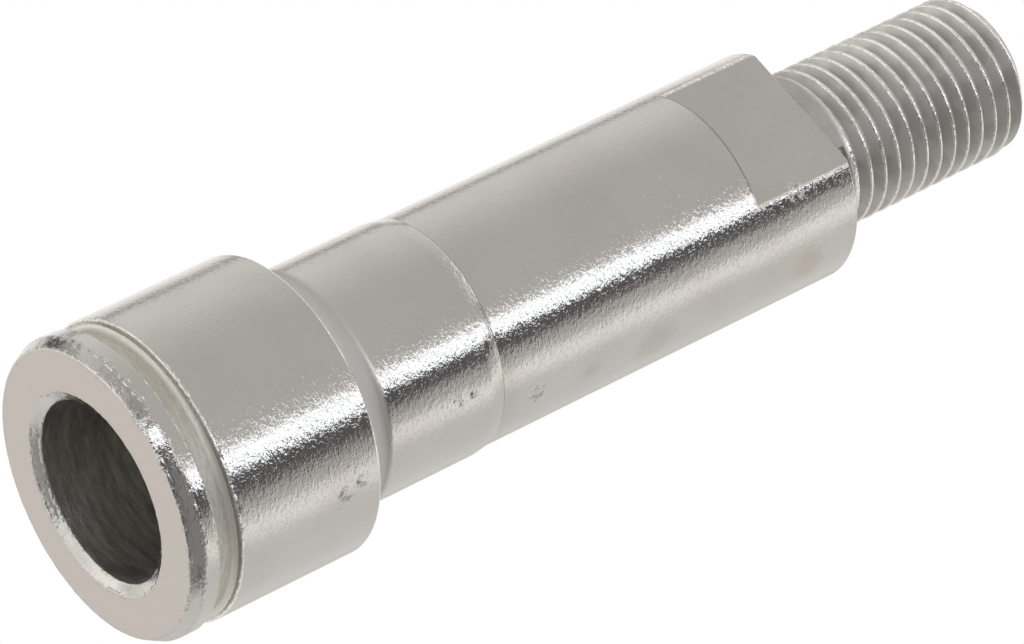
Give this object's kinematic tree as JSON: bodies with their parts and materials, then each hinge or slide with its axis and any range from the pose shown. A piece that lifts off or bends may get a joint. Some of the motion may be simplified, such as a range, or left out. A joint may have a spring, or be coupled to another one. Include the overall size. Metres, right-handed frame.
{
  "type": "threaded spindle",
  "caption": "Turned steel spindle: a hollow grooved head, a smooth neck and body with wrench flats, and a threaded stud.",
  "frame": {"origin": "centre of the open face of the head, which the spindle stands on", "axes": "+Z along the axis towards the threaded end, +X square to a wrench flat"},
  "size_m": [0.0252, 0.0252, 0.09],
  "materials": {
    "plated_steel": "bright zinc plating over fine turning marks"
  },
  "bodies": {
    "root": {"spindle": "plated_steel"}
  },
  "joints": []
}
